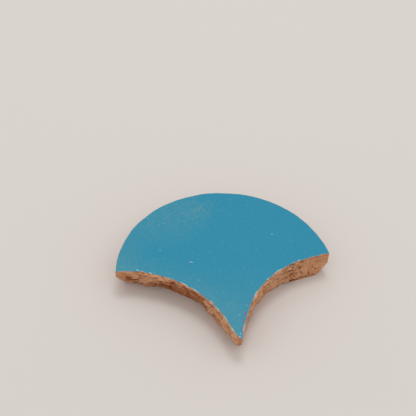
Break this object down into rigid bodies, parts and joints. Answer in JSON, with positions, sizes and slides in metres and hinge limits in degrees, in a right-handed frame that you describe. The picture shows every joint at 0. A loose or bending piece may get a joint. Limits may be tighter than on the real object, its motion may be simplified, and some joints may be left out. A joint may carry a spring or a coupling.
{
  "type": "fish scale tile",
  "caption": "Hand-cut glazed terracotta tile in a fish scale outline: a round head, two concave bays that take neighbouring tiles, a blunt tail and undercut sides.",
  "frame": {"origin": "middle of the overall width and length, on the underside", "axes": "+Z out of the glazed face, +X across the scale, -Y along the tail"},
  "size_m": [0.0994, 0.0882, 0.014],
  "materials": {
    "glazed_terracotta": "satin turquoise glaze on the upper face, raw struck terracotta on the sides and underside"
  },
  "bodies": {
    "root": {"fish_scale_tile": "glazed_terracotta"}
  },
  "joints": []
}
